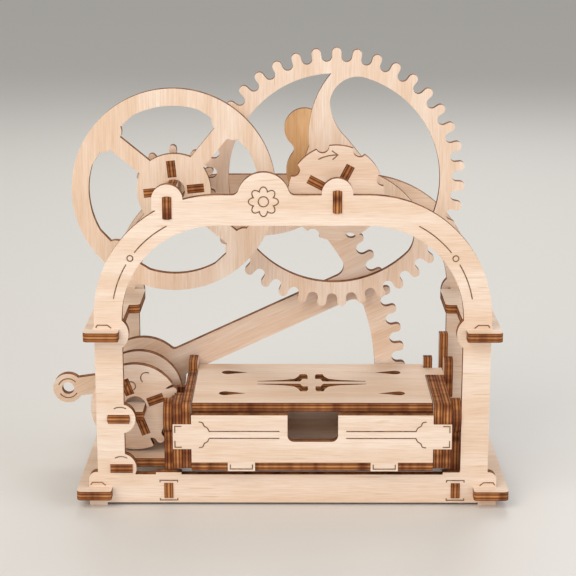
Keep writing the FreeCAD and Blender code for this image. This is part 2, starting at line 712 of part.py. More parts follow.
def flywheel_opening():
    """The opening between two spokes, drawn round the angle 90, with stepped outer corners."""
    half = WHEEL_SPOKE_W / 2
    edge_in, bend_in, step_in = WHEEL_STEP_R
    bend_turn, step_turn, rim_turn = WHEEL_STEP_ANGLE
    corners = []
    for spoke, turn in ((45.0, 1), (135.0, -1)):
        # a straight side of the spoke, from the hub out to its stepped root
        ends = []
        for radius in (WHEEL_HUB_R, WHEEL_RIM_R - edge_in):
            beside = math.degrees(math.atan2(half, radius))
            ends.append(polar(math.hypot(radius, half), spoke + turn * beside))
        bend = polar(WHEEL_RIM_R - bend_in, spoke + turn * bend_turn)
        step = polar(WHEEL_RIM_R - step_in, spoke + turn * step_turn)
        rim = polar(WHEEL_RIM_R, spoke + turn * rim_turn)
        corners.append(ends + [bend, step, rim])
    (hub_a, edge_a, bend_a, step_a, rim_a), (hub_b, edge_b, bend_b, step_b, rim_b) = corners
    return slab([
        arc(rim_a, polar(WHEEL_RIM_R, 90), rim_b),
        line(rim_b, step_b),
        arc(step_b, bend_b, edge_b),
        line(edge_b, hub_b),
        arc(hub_b, polar(WHEEL_HUB_R, 90), hub_a),
        line(hub_a, edge_a),
        arc(edge_a, bend_a, step_a),
        line(step_a, rim_a),
    ])


def flywheel():
    opening = flywheel_opening()
    cuts = [turned(opening, WHEEL_PHASE + 90 * i) for i in range(4)]
    cuts.append(disc(0, 0, BORE_R))
    return disc(0, 0, WHEEL_R).cut(cuts + hub_slots(WHEEL_PHASE, RIB_IN, RIB_OUT))


def flywheel_pinion():
    phase = meshed_phase(GEAR_TEETH, GEAR_PHASE, WHEEL_ANGLE, WHEEL_TEETH)
    root_r = WHEEL_DISTANCE - GEAR_TIP_R - TIP_CLEAR
    tip_r = WHEEL_DISTANCE - GEAR_ROOT_R - TIP_CLEAR
    body = toothed(WHEEL_TEETH, tip_r, root_r, WHEEL_TOOTH_W, phase)
    return body.cut([disc(0, 0, BORE_R)] + hub_slots(WHEEL_PHASE, RIB_IN, RIB_OUT_PINION))


def make_flywheel():
    centre = (WHEEL_X, WHEEL_Z)
    nodes = {
        "flywheel": facing_front(flywheel(), WHEEL_Y, centre),
        "flywheel_pinion": facing_front(flywheel_pinion(), GEAR_Y, centre),
    }
    steps = [
        (WHEEL_Y, GEAR_Y, RIB_IN, RIB_OUT),
        (WHEEL_Y + T, GEAR_Y, BORE_R, RIB_OUT),
        (GEAR_Y, GEAR_Y + T, RIB_IN, RIB_OUT_PINION),
    ]
    nodes.update(rib_set("flywheel_hub_rib", steps, WHEEL_PHASE, WHEEL_X, WHEEL_Z))
    return nodes


# --- box body --------------------------------------------------------------------------------


def tab_notch():
    """The notch in a side plate's front edge that a front panel tab lies in."""
    return rect(BOX_FRONT - CUT_PAST, 0.0, TAB_Z[0], TAB_Z[1])


def pin_hole():
    return disc(TILT_Y, TILT_Z, PIN_R)


def left_side():
    """The inner left side plate, with the ear that holds the lid's hinge tab."""
    outline = rounded([
        (BOX_FRONT, BOX_LOW, SIDE_CORNER), (BOX_BACK, BOX_LOW, HEEL_R),
        (BOX_BACK, EAR_TOP, EAR_CORNER_R), (EAR_FRONT, EAR_TOP, EAR_CORNER_R),
        (EAR_FRONT, BOX_TOP, EAR_CORNER_R), (BOX_FRONT, BOX_TOP, SIDE_CORNER),
    ])
    hinge = disc(LID_HINGE_Y, LID_HINGE_Z, LID_HINGE_R + RUNNING_FIT)
    return outline.cut([tab_notch(), hinge, pin_hole()])


def right_side(back, ear):
    """A right side plate, notched for the lid's tab; the inner one has an ear behind it."""
    tab_sweep = math.hypot(T / 2, T / 2)
    notch_back = LID_HINGE_Y + tab_sweep + NOTCH_BACK_GAP
    notch_low = LID_HINGE_Z - tab_sweep - NOTCH_LOW_GAP
    notch_front = LID_TAB_Y[0] - NOTCH_FRONT_GAP
    corners = [(BOX_FRONT, BOX_LOW, SIDE_CORNER), (back, BOX_LOW, HEEL_R)]
    if ear:
        corners += [(back, EAR_TOP, EAR_CORNER_R), (notch_back, EAR_TOP, EAR_CORNER_R)]
        corners += [(notch_back, notch_low, 0)]
    else:
        corners += [(back, notch_low, EAR_CORNER_R)]
    corners += [(notch_front, notch_low, EAR_CORNER_R), (notch_front, BOX_TOP, EAR_CORNER_R)]
    corners += [(BOX_FRONT, BOX_TOP, SIDE_CORNER)]
    return rounded(corners).cut([tab_notch(), pin_hole()])


def tilt_gear_plate():
    """The outer left side plate: teeth round the pivot inside an arched slot."""
    centre = (TILT_Y, TILT_Z)
    outline = rounded([
        (BOX_FRONT, BOX_LOW, SIDE_CORNER), (TILT_PLATE_BACK, BOX_LOW, TILT_PLATE_CORNER_R),
        (TILT_PLATE_BACK, BOX_TOP, TILT_PLATE_CORNER_R), (BOX_FRONT, BOX_TOP, SIDE_CORNER),
    ])
    root_r, tip_r = TILT_GEAR_R
    ring = disc(0, 0, TILT_SLOT_R).cut(disc(0, 0, root_r)).common(wedge(TILT_SLOT_R, *TILT_SLOT_ENDS))
    ring.translate(vec(*centre))
    body = outline.cut([ring, tab_notch(), pin_hole()])
    pitch = 360.0 / TILT_TEETH
    first = HUB_PHASE * TILT_RATIO + pitch / 2
    half = TILT_TOOTH_W / 2
    teeth = []
    for i in (0, -1, -2):
        tooth = rect(root_r - CUT_PAST, tip_r - half, -half, half)
        cap = disc(tip_r - half, 0, half)
        piece = turned(fused([tooth, cap]), first + i * pitch)
        piece.translate(vec(*centre))
        teeth.append(piece)
    return fused([body] + teeth)


def box_front_panel():
    """The front panel with two side tabs, two floor tabs and a thumb window at the top."""
    parts = [
        rect(BOX_X[0] + PANEL_GAP, BOX_X[1] - PANEL_GAP, FLOOR_Z + T, PANEL_TOP),
        rect(BOX_X[0] - 2 * T, BOX_X[1] + 2 * T, TAB_Z[0], TAB_Z[1]),
    ]
    for start, end in FLOOR_TABS:
        parts.append(rect(start, end, FLOOR_Z, FLOOR_Z + 2 * T))
    window = rounded([
        (WINDOW_X[0], WINDOW_Z, WINDOW_CORNER_R), (WINDOW_X[1], WINDOW_Z, WINDOW_CORNER_R),
        (WINDOW_X[1], PANEL_TOP + CUT_PAST, 0), (WINDOW_X[0], PANEL_TOP + CUT_PAST, 0),
    ])
    return fused(parts).cut(window)


def box_bottom():
    floor = rect(BOX_X[0], BOX_X[1], BOX_FRONT, BOX_BACK - T)
    return floor.cut([rect(start, end, BOX_FRONT - CUT_PAST, 0.0) for start, end in FLOOR_TABS])


def pivot_pin(start, end):
    """A dowel along X that the box tilts on."""
    return Part.makeCylinder(PIN_R, end - start, vec(start, TILT_Y, TILT_Z), vec(1, 0, 0))


def make_box():
    left, right = BOX_X
    return {
        "box_bottom": lying(box_bottom(), FLOOR_Z),
        "box_front_panel": facing_front(box_front_panel(), -T),
        "box_back_panel": facing_front(rect(left, right, FLOOR_Z, BACK_TOP), BOX_BACK - T),
        "box_side_left": facing_side(left_side(), left - T),
        "box_side_right": facing_side(right_side(BOX_BACK, True), right),
        "tilt_gear_plate": facing_side(tilt_gear_plate(), left - 2 * T),
        "box_outer_side_right": facing_side(right_side(BOX_BACK - T, False), right + T),
        "pivot_pin_left": pivot_pin(BRACKET_X[0], left),
        "pivot_pin_right": pivot_pin(right, BRACKET_X[1] + T),
    }


# --- lid body --------------------------------------------------------------------------------


def swept_cut(side_u, side_v):
    """A long cut with a broad head by the lid's middle and a thin point away from it."""
    return rounded([(side_u * u, side_v * v, radius) for u, v, radius in SWEPT_CUT])


def teardrop(u, v, side):
    """A slim drop-shaped slot with its round end away from the middle."""
    point, low, high = (u - side * DROP_TAIL, v), (u, v - DROP_R), (u, v + DROP_R)
    return slab([
        arc(low, (u + side * DROP_R, v), high),
        line(high, point),
        line(point, low),
    ])


def lid_panel():
    """The lid with its hinge tab on the left and its drive tab on the right."""
    left, right = BOX_X[0] + LID_GAP, BOX_X[1] - LID_GAP
    lever_x = BRACKET_X[1]
    middle_u, middle_v = (left + right) / 2, (LID_FRONT + BOX_BACK) / 2
    parts = [
        rect(left, right, LID_FRONT, BOX_BACK),
        rect(right - T, lever_x, LID_TAB_Y[0], LID_HINGE_Y + T / 2),
        rect(right - T, lever_x + T, LID_TAB_Y[0], LID_TAB_Y[1]),
    ]
    cuts = []
    for side_u in (-1, 1):
        for side_v in (-1, 1):
            cut = swept_cut(side_u, side_v)
            cut.translate(vec(middle_u, middle_v))
            cuts.append(cut)
            drop_u, drop_v = middle_u + side_u * DROP_AT[0], middle_v + side_v * DROP_AT[1]
            cuts.append(teardrop(drop_u, drop_v, side_u))
    panel = lying(fused(parts).cut(cuts), LID_Z)
    tab_profile = rect(-T / 2, T / 2, -T / 2, T / 2).common(disc(0, 0, LID_HINGE_R))
    tab_profile.translate(vec(LID_HINGE_Y, LID_HINGE_Z))
    face = min(tab_profile.Faces, key=lambda f: f.CenterOfMass.z)
    tab = face.extrude(vec(0, 0, left - (BOX_X[0] - T)))
    return panel.fuse(facing_side(tab, BOX_X[0] - T)).removeSplitter()


def lid_lever():
    front, back = LID_LEVER_Y
    low, high = LID_LEVER_Z
    low_r, high_r = LID_LEVER_R
    plate = rounded([(front, low, low_r), (back, low, low_r), (back, high, high_r), (front, high, high_r)])
    return plate.cut(rect(LID_TAB_Y[0], LID_TAB_Y[1], LID_Z, LID_Z + T))


def make_lid():
    return {
        "lid_panel": lid_panel(),
        "lid_lever": facing_side(lid_lever(), BRACKET_X[1]),
    }


# --- the whole object ------------------------------------------------------------------------


def make_bodies():
    """Every piece, in named bodies that move as one."""
    return {
        "stand": make_stand(),
        "lever": make_lever(),
        "crank_shaft": make_crank_shaft(),
        "flywheel": make_flywheel(),
        "box": make_box(),
        "lid": make_lid(),
    }


def main():
    os.makedirs("parts", exist_ok=True)
    for nodes in make_bodies().values():
        for name, shape in nodes.items():
            shape.translate(vec(-CENTRE_X, -CENTRE_Y, 0))
            shape.exportStep("parts/%s.step" % name)
            print(name, round(shape.Volume, 1), len(shape.Solids), shape.isValid())
    print("lever swings %.1f degrees, crank shaft %.1f" % (LEVER_RANGE, GEAR_RANGE))
    print("flywheel turns %.1f degrees, box and lid %.2f" % (WHEEL_RANGE, TILT_RANGE))


if __name__ == "__main__":
    main()
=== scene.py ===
import math

import bpy
import numpy as np
from bpy.props import FloatProperty, FloatVectorProperty, IntProperty, PointerProperty
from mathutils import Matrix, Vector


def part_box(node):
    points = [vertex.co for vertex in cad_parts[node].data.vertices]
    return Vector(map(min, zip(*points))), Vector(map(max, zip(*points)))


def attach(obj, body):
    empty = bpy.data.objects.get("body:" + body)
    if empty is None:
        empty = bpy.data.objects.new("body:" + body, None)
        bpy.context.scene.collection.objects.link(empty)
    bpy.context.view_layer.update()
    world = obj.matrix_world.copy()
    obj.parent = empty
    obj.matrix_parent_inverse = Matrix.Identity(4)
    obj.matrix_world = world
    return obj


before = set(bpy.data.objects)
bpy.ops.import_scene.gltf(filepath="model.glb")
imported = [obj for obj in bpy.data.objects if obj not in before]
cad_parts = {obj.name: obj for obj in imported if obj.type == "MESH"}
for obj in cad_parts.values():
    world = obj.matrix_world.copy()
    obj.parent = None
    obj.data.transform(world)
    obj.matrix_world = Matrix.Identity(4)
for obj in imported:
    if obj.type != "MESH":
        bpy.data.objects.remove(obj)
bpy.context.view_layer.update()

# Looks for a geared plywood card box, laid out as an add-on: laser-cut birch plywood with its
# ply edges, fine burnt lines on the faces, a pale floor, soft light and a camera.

bl_info = {
    "name": "Geared plywood card box",
    "version": (1, 0, 0),
    "blender": (4, 5, 0),
    "location": "View3D > Sidebar > Card box",
    "description": "Dresses the card box in birch plywood with burnt lines, and lights it",
    "category": "Object",
}

MM = 0.001

RIDGE_SIDES = 8
# The ribs of each hub stand round its axle from this angle, in degrees.
RIB_ANGLES = {"lever_hub_rib": 20.5, "gear_hub_rib": 62.5, "flywheel_hub_rib": 5.5}
SIDE_SHEETS = (
    "box_bracket_left", "box_bracket_right", "box_side_left", "box_side_right",
    "tilt_gear_plate", "box_outer_side_right", "lid_lever", "flywheel_axle_bar", "gear_axle_bar",
)
LYING_SHEETS = (
    "lower_shelf", "upper_platform_left", "upper_platform_right", "base_plate_left",
    "base_plate_right", "box_bottom", "lid_panel", "lever_axle_bar",
)
UPRIGHT_GRAIN = ("big_gear", "flywheel", "crank_handle")
DOWELS = ("pivot_pin_left", "pivot_pin_right")
ARM_ANGLE = 25.0           # the lever's arm above level, which its grain follows

# Colours as (position, sRGB hex) stops. Bare birch is cream with fine tan streaks.
PALE_STOPS = ((0.26, "#e2c9ae"), (0.48, "#ebd6c2"), (0.74, "#f3e4d6"))
# The crank handle's honey stops are painted light: a lit copy of the plywood, warmer and lighter for how
# light falls on the handle.
PAINTED_LIGHT_HONEY_STOPS = ((0.28, "#dcae78"), (0.46, "#e8c08e"), (0.72, "#f0cfa2"))
CLOUD_STOPS = ((0.34, "#efe0d0"), (0.66, "#ffffff"))
DOWEL_STOPS = ((0.3, "#c79c68"), (0.7, "#ecd3a8"))
SCORCH_STOPS = ((0.35, "#5c3a22"), (0.65, "#8f6843"))
CHAR_STOPS = ((0.32, "#a98a72"), (0.62, "#ffffff"))
# Five plies from one face to the other, charred at the faces and along the glue lines.
PLY_STOPS = (
    (0.00, "#4a2412"), (0.08, "#8a4f27"), (0.20, "#b5763f"), (0.27, "#4f2611"), (0.38, "#965c31"),
    (0.50, "#cf945a"), (0.62, "#965c31"), (0.73, "#4f2611"), (0.80, "#b5763f"), (0.92, "#8a4f27"),
    (1.00, "#4a2412"),
)
FLECK_COLOUR = "#c79c66"
FLECK_RANGE = (0.70, 0.76)  # only the highest part of the noise shows as a fleck
FLECK_STRENGTH = 0.45
CLOUD_STRENGTH = 0.75
FACE_FACING, EDGE_FACING = 0.75, 0.55   # how squarely a face and an edge look across the sheet
PLY_WAVER = 0.03           # how far a ply wanders, as a share of the sheet
SEED_STEP = (61.0, 37.0, 83.0)  # shifts the pattern from piece to piece, in mm
SCORCHED = "plywood, scorched line"

# Burnt lines, in mm and degrees, with u to the right and v up.
SHOULDER_CENTRE, SHOULDER_R = (-28.5, 75.3), 40.0
SHOULDER_ARCS = ((118, 141), (149, 169.5))
SHOULDER_RING_ANGLE, SHOULDER_RING_R = 145, 1.1
PLATFORM_MARK = ((-69.0, 71.1), (-70.4, 72.3), (-74.2, 72.3), (-74.8, 71.3))
FOOT_MARK = ((-72.6, 8.0), (-74.0, 9.2), (-77.8, 9.2), (-78.4, 8.2))
TENON_MARK_HALF, TENON_MARK_HOOK = 3.4, 0.8
TENON_MARK_HEIGHTS = ((10.1, -1), (2.0, 1))     # each height, and which way its hooks point
LOBE_U, LOBE_HEIGHTS = -66.4, (35.0, 15.05)
LOBE_R, LOBE_ARC = 4.7, (60, 120)
CREST_DROP = 11.0          # the rosette's middle is this far left of and below the frame's top
PETAL_DEPTH = 0.28         # how deep the notch between petals is, as a share of the radius
ROSETTE_EYE = 0.34         # the inner ring's radius, as a share of the radius
PANEL_MIDDLE, PANEL_LINE_Z = 29.8, 31.2
PANEL_LINES = ((-5.1, -32.0, -1), (20.5, 47.2, 1))    # start, end, and which way it runs
# how far out and up each step of a panel line's flared end lies
FLARE = ((0.5, 1.0), (0.9, 1.5), (1.8, 2.0), (2.1, 2.4), (2.4, 3.3), (2.8, 3.6), (4.0, 3.8))
SIDE_TABS = ((-45.2, 1), (60.2, -1))            # a tab's tip, and which way its panel lies
SIDE_TAB_CORNERS = ((33.2, -1), (24.8, 1))
SIDE_TAB_MARK = 2.6
FLOOR_TABS = ((-24.0, -15.5), (31.0, 39.5))
FLOOR_TAB_MARK = (17.8, 16.0)
ARROW_R, ARROW_START, ARROW_END = 14.8, 118, 88
ARROW_BARBS = ((-2.3, 1.7), (-2.0, -1.8))
CURLS = (((-1.5, 8.6), 1.8, -60, 200), ((4.6, 12.0), 2.2, 60, 230))
RING_R, RING_REACH, RING_ANGLE = 6.2, 32.1, 188.0
RING_LINE_R, RING_LINES = 4.1, ((40, 160), (215, 330))


def linear(colour):
    """The linear colour, with alpha 1, of an sRGB hex value such as "#f0dfc4"."""
    parts = [int(colour[i:i + 2], 16) / 255 for i in (1, 3, 5)]
    return tuple(c / 12.92 if c <= 0.04045 else ((c + 0.055) / 1.055) ** 2.4 for c in parts) + (1.0,)


# --- materials ------------------------------------------------------------------------------


def add_node(tree, kind, settings=None, **inputs):
    """A node of that kind; settings set its fields, and inputs set or link its sockets."""
    node = tree.nodes.new("ShaderNode" + kind)
    for field, value in (settings or {}).items():
        setattr(node, field, value)
    for key, value in inputs.items():
        name = key.replace("_", " ")
        socket = node.inputs[int(key[1:])] if key[0] == "i" and key[1:].isdigit() else node.inputs[name]
        if isinstance(value, bpy.types.NodeSocket):
            tree.links.new(value, socket)
        else:
            socket.default_value = value
    return node


def ramp(tree, fac, stops):
    """A colour ramp through (position, sRGB hex) stops."""
    node = add_node(tree, "ValToRGB", Fac=fac)
    elements = node.color_ramp.elements
    while len(elements) < len(stops):
        elements.new(0.5)
    for element, (position, colour) in zip(elements, stops):
        element.position = position
        element.color = linear(colour)
    return node.outputs["Color"]


def new_material(name):
    """An empty material and its Principled shader."""
    material = bpy.data.materials.new(name)
    material.use_nodes = True
    return material, material.node_tree.nodes["Principled BSDF"]


def plywood(name, face_stops, sheet_mm):
    """Bare birch plywood cut by laser: pale, finely streaked faces and charred, banded edges."""
    sizes = look()
    material, shader = new_material(name)
    tree = material.node_tree
    place = add_node(tree, "TexCoord")
    point = add_node(tree, "VectorMath", {"operation": "SCALE"},
                     i0=place.outputs["Object"], Scale=1 / MM).outputs[0]
    across = add_node(tree, "Attribute", {"attribute_type": "OBJECT", "attribute_name": "ply_axis"})
    grain = add_node(tree, "Attribute", {"attribute_type": "OBJECT", "attribute_name": "ply_grain"})
    start = add_node(tree, "Attribute", {"attribute_type": "OBJECT", "attribute_name": "ply_start"})
    seed = add_node(tree, "Attribute", {"attribute_type": "OBJECT", "attribute_name": "ply_seed"})

    # a face looks along the sheet's thickness, and an edge looks across it
    facing = add_node(tree, "VectorMath", {"operation": "DOT_PRODUCT"},
                      i0=place.outputs["Normal"], i1=across.outputs["Vector"]).outputs["Value"]
    facing = add_node(tree, "Math", {"operation": "ABSOLUTE"}, i0=facing).outputs[0]
    on_edge = add_node(tree, "MapRange", i0=facing, i1=FACE_FACING, i2=EDGE_FACING).outputs[0]

    # the grain: noise drawn out along the grain's direction, and shifted from piece to piece
    along = add_node(tree, "VectorMath", {"operation": "DOT_PRODUCT"},
                     i0=point, i1=grain.outputs["Vector"]).outputs["Value"]
    drawn = add_node(tree, "Math", {"operation": "MULTIPLY"},
                     i0=along, i1=sizes.grain_stretch - 1).outputs[0]
    shift = add_node(tree, "VectorMath", {"operation": "SCALE"},
                     i0=grain.outputs["Vector"], Scale=drawn).outputs[0]
    stretched = add_node(tree, "VectorMath", {"operation": "ADD"}, i0=point, i1=shift).outputs[0]
    apart = add_node(tree, "VectorMath", {"operation": "SCALE"},
                     i0=SEED_STEP, Scale=seed.outputs["Fac"]).outputs[0]
    streaked = add_node(tree, "VectorMath", {"operation": "ADD"}, i0=stretched, i1=apart).outputs[0]
    streaks = add_node(tree, "TexNoise", Vector=streaked, Scale=1 / sizes.streak_mm,
                       Detail=4.0, Roughness=0.62).outputs["Fac"]
    clouds = add_node(tree, "TexNoise", Vector=streaked, Scale=1 / sizes.cloud_mm,
                      Detail=2.0, Roughness=0.5).outputs["Fac"]
    wood = ramp(tree, streaks, face_stops)
    cloud = ramp(tree, clouds, CLOUD_STOPS)
    face = add_node(tree, "Mix", {"data_type": "RGBA", "blend_type": "MULTIPLY"},
                    i0=CLOUD_STRENGTH, i6=wood, i7=cloud).outputs[2]
    # short brown flecks, as birch has
    flecks = add_node(tree, "TexNoise", Vector=streaked, Scale=1 / sizes.fleck_mm,
                      Detail=1.0, Roughness=0.4).outputs["Fac"]
    fleck = add_node(tree, "MapRange", i0=flecks, i1=FLECK_RANGE[0], i2=FLECK_RANGE[1],
                     i4=FLECK_STRENGTH).outputs[0]
    face = add_node(tree, "Mix", {"data_type": "RGBA"},
                    i0=fleck, i6=face, i7=linear(FLECK_COLOUR)).outputs[2]

    # the edge: five plies through the thickness, charred unevenly in soft patches
    depth = add_node(tree, "VectorMath", {"operation": "DOT_PRODUCT"},
                     i0=point, i1=across.outputs["Vector"]).outputs["Value"]
    depth = add_node(tree, "Math", {"operation": "SUBTRACT"},
                     i0=depth, i1=start.outputs["Fac"]).outputs[0]
    squeeze = add_node(tree, "VectorMath", {"operation": "SCALE"},
                       i0=across.outputs["Vector"], Scale=depth).outputs[0]
    flat_point = add_node(tree, "VectorMath", {"operation": "SUBTRACT"}, i0=point, i1=squeeze).outputs[0]
    patches = add_node(tree, "TexNoise", Vector=flat_point, Scale=1 / sizes.char_mm,
                       Detail=2.0, Roughness=0.5).outputs["Fac"]
    waver = add_node(tree, "MapRange", i0=patches, i3=-PLY_WAVER, i4=PLY_WAVER).outputs[0]
    share = add_node(tree, "Math", {"operation": "DIVIDE"}, i0=depth, i1=sheet_mm).outputs[0]
    share = add_node(tree, "Math", {"operation": "ADD"}, i0=share, i1=waver).outputs[0]
    plies = ramp(tree, share, PLY_STOPS)
    char = ramp(tree, patches, CHAR_STOPS)
    edge = add_node(tree, "Mix", {"data_type": "RGBA", "blend_type": "MULTIPLY"},
                    i0=1.0, i6=plies, i7=char).outputs[2]

    colour = add_node(tree, "Mix", {"data_type": "RGBA"}, i0=on_edge, i6=face, i7=edge).outputs[2]
    tree.links.new(colour, shader.inputs["Base Color"])
    rough = add_node(tree, "MapRange", i0=on_edge, i3=0.58, i4=0.82).outputs[0]
    tree.links.new(rough, shader.inputs["Roughness"])
    relief = add_node(tree, "Bump", Strength=0.25, Distance=0.03 * MM, Height=streaks).outputs[0]
    tree.links.new(relief, shader.inputs["Normal"])
    shader.inputs["Specular IOR Level"].default_value = 0.3
    return material


def birch_dowel(name):
    """A turned birch dowel: pale wood with fine lines along it."""
    material, shader = new_material(name)
    tree = material.node_tree
    place = add_node(tree, "TexCoord")
    drawn = add_node(tree, "Mapping", Vector=place.outputs["Object"],
                     Scale=(0.05 / MM, 1 / MM, 1 / MM)).outputs[0]
    lines = add_node(tree, "TexNoise", Vector=drawn, Scale=1.5, Detail=3.0).outputs["Fac"]
    colour = ramp(tree, lines, DOWEL_STOPS)
    tree.links.new(colour, shader.inputs["Base Color"])
    shader.inputs["Roughness"].default_value = 0.6
    return material


def burnt_line(name):
    """Wood scorched by a light pass of the laser: matt brown, uneven along the line."""
    material, shader = new_material(name)
    tree = material.node_tree
    place = add_node(tree, "TexCoord")
    patches = add_node(tree, "TexNoise", Vector=place.outputs["Object"], Scale=0.7 / MM,
                       Detail=2.0).outputs["Fac"]
    colour = ramp(tree, patches, SCORCH_STOPS)
    tree.links.new(colour, shader.inputs["Base Color"])
    shader.inputs["Roughness"].default_value = 0.9
    return material


# --- the plywood pieces ---------------------------------------------------------------------


def sheet_directions(name):
    """The direction across a sheet's thickness, and the direction of its grain."""
    family = name.rsplit("_", 1)[0]
    if family in RIB_ANGLES:
        angle = math.radians(RIB_ANGLES[family] + 90 * (int(name[-1]) - 1))
        return (-math.sin(angle), 0.0, math.cos(angle)), (0.0, 1.0, 0.0)
    if name in SIDE_SHEETS:
        return (1.0, 0.0, 0.0), (0.0, 1.0, 0.0)
    if name in LYING_SHEETS:
        return (0.0, 0.0, 1.0), (1.0, 0.0, 0.0)
    if name == "sector_lever":
        arm = math.radians(ARM_ANGLE)
        return (0.0, 1.0, 0.0), (math.cos(arm), 0.0, math.sin(arm))
    if name in UPRIGHT_GRAIN:
        return (0.0, 1.0, 0.0), (0.0, 0.0, 1.0)
    return (0.0, 1.0, 0.0), (1.0, 0.0, 0.0)


def corners(piece):
    """The corners of a piece's mesh, as an array of points in metres."""
    points = np.empty(len(piece.data.vertices) * 3, np.float32)
    piece.data.vertices.foreach_get("co", points)
    return points.reshape(-1, 3)


def dress(piece, material):
    """Give a piece one material in every slot it has."""
    if piece.data.materials:
        for i in range(len(piece.data.materials)):
            piece.data.materials[i] = material
    else:
        piece.data.materials.append(material)


# --- burnt lines ----------------------------------------------------------------------------


def arc_path(centre, radius, start, end, count=40):
    """Points at centre + radius (cos a, sin a), with a running evenly from start to end degrees."""
    angles = np.radians(np.linspace(start, end, count))
    return np.stack([centre[0] + radius * np.cos(angles), centre[1] + radius * np.sin(angles)], 1)


def straight_path(*points):
    """The given points as a path of straight steps."""
    return np.array(points, float)


def ridge(path, width, height):
    """A closed low ridge along a flat path. For path point C(t) with left normal N(t) and an
    angle a round the ridge, the surface is C(t) + (width / 2) cos a N(t), raised by
    height sin a; N is lengthened at a bend so that the ridge keeps its width.
    Returns points (u, v, raise) and whether the path closes on itself."""
    closed = bool(np.allclose(path[0], path[-1]))
    step = np.diff(path, axis=0)
    step /= np.linalg.norm(step, axis=1, keepdims=True)
    before = np.vstack([step[-1:] if closed else step[:1], step])
    after = np.vstack([step, step[:1] if closed else step[-1:]])
    left = np.stack([-(before + after)[:, 1], (before + after)[:, 0]], 1)
    left /= np.linalg.norm(left, axis=1, keepdims=True)
    normal_before = np.stack([-before[:, 1], before[:, 0]], 1)
    left /= np.clip((left * normal_before).sum(1, keepdims=True), 0.5, 1.0)
    if closed:
        path, left = path[:-1], left[:-1]
    round_it = np.radians(np.arange(RIDGE_SIDES) * 360 / RIDGE_SIDES)
    flat = path[:, None, :] + np.cos(round_it)[None, :, None] * (width / 2) * left[:, None, :]
    rise = np.broadcast_to(height * np.sin(round_it), flat.shape[:2])
    return np.concatenate([flat, rise[:, :, None]], 2), closed


def ridge_faces(rows, closed, first):
    """The faces of a ridge of that many rows, numbered from first: a quad for each cell of the
    grid, wrapped round the ridge and along a closed path, and a cap on each open end."""
    index = first + np.arange(rows * RIDGE_SIDES).reshape(rows, RIDGE_SIDES)
    caps = []
    if closed:
        index = np.vstack([index, index[:1]])
    else:
        caps = [index[0, ::-1].tolist(), index[-1].tolist()]
    ahead = np.roll(index, -1, axis=1)
    quads = np.stack([index[:-1], ahead[:-1], ahead[1:], index[1:]], 2).reshape(-1, 4)
    return quads.tolist() + caps


def burn(name, paths, body, centre):
    """One piece made of ridges along flat paths in mm about a centre in metres. A path's u
    runs to +X and its v to +Z, and the ridges stand out of the face towards -Y."""
    sizes = look()
    points, faces = [], []
    count = 0
    for path in paths:
        grid, closed = ridge(path, sizes.burn_width, sizes.burn_height)
        faces += ridge_faces(len(grid), closed, count)
        points.append(grid.reshape(-1, 3))
        count += grid.shape[0] * RIDGE_SIDES
    flat = np.concatenate(points) * MM
    lift = (sizes.burn_height + sizes.burn_lift) * MM
    placed = np.stack([flat[:, 0], -flat[:, 2] - lift, flat[:, 1]], 1) + np.array(centre)
    mesh = bpy.data.meshes.new(name)
    mesh.from_pydata(placed.tolist(), [], faces)
    mesh.update()
    piece = bpy.data.objects.new(name, mesh)
    bpy.context.scene.collection.objects.link(piece)
    piece.data.materials.append(bpy.data.materials[SCORCHED])
    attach(piece, body)
    return piece


def mirrored(paths):
    """The paths and their mirror images across u = 0, run backwards to keep their side."""
    return paths + [(path * (-1, 1))[::-1] for path in paths]


def frame_centre():
    """The middle of the front frame's front face at table height, in metres."""
    low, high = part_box("front_frame")
    return ((low.x + high.x) / 2, low.y, 0.0)


def hub_centre(node):
    """The middle of a round node's front face, in metres."""
    low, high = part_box(node)
    return ((low.x + high.x) / 2, low.y, (low.z + high.z) / 2)


class CardBoxLook(bpy.types.PropertyGroup):
    """Sizes and colours of the plywood and of the burnt lines."""

    streak_mm: FloatProperty(name="Streak width", description="Width of a streak of the grain in mm",
                             default=0.55, min=0.1)
    cloud_mm: FloatProperty(name="Cloud size", description="Size of the broad changes of tone in mm",
                            default=9.0, min=1.0)
    fleck_mm: FloatProperty(name="Fleck size", description="Width of a brown fleck in mm",
                            default=0.8, min=0.1)
    char_mm: FloatProperty(name="Char patch width",
                           description="Width of a charred patch on an edge in mm",
                           default=4.5, min=0.05)
    grain_stretch: FloatProperty(name="Grain stretch", description="How far the grain is drawn out: its "
                                 "width as a share of its length", default=0.05, min=0.005, max=1.0)
    burn_width: FloatProperty(name="Line width", description="Width of a burnt line in mm",
                              default=0.42, min=0.1)
    burn_height: FloatProperty(name="Line height",
                               description="How far a burnt line's middle stands up in mm",
                               default=0.05, min=0.0)
    burn_lift: FloatProperty(name="Line lift", description="Gap under a burnt line in mm", default=0.02,
                             min=0.0)
    petals: IntProperty(name="Rosette petals", description="Petals of the crest's rosette", default=8,
                        min=3, max=24)
    rosette_mm: FloatProperty(name="Rosette radius", description="Radius of the crest's rosette in mm",
                              default=5.6, min=1.0)


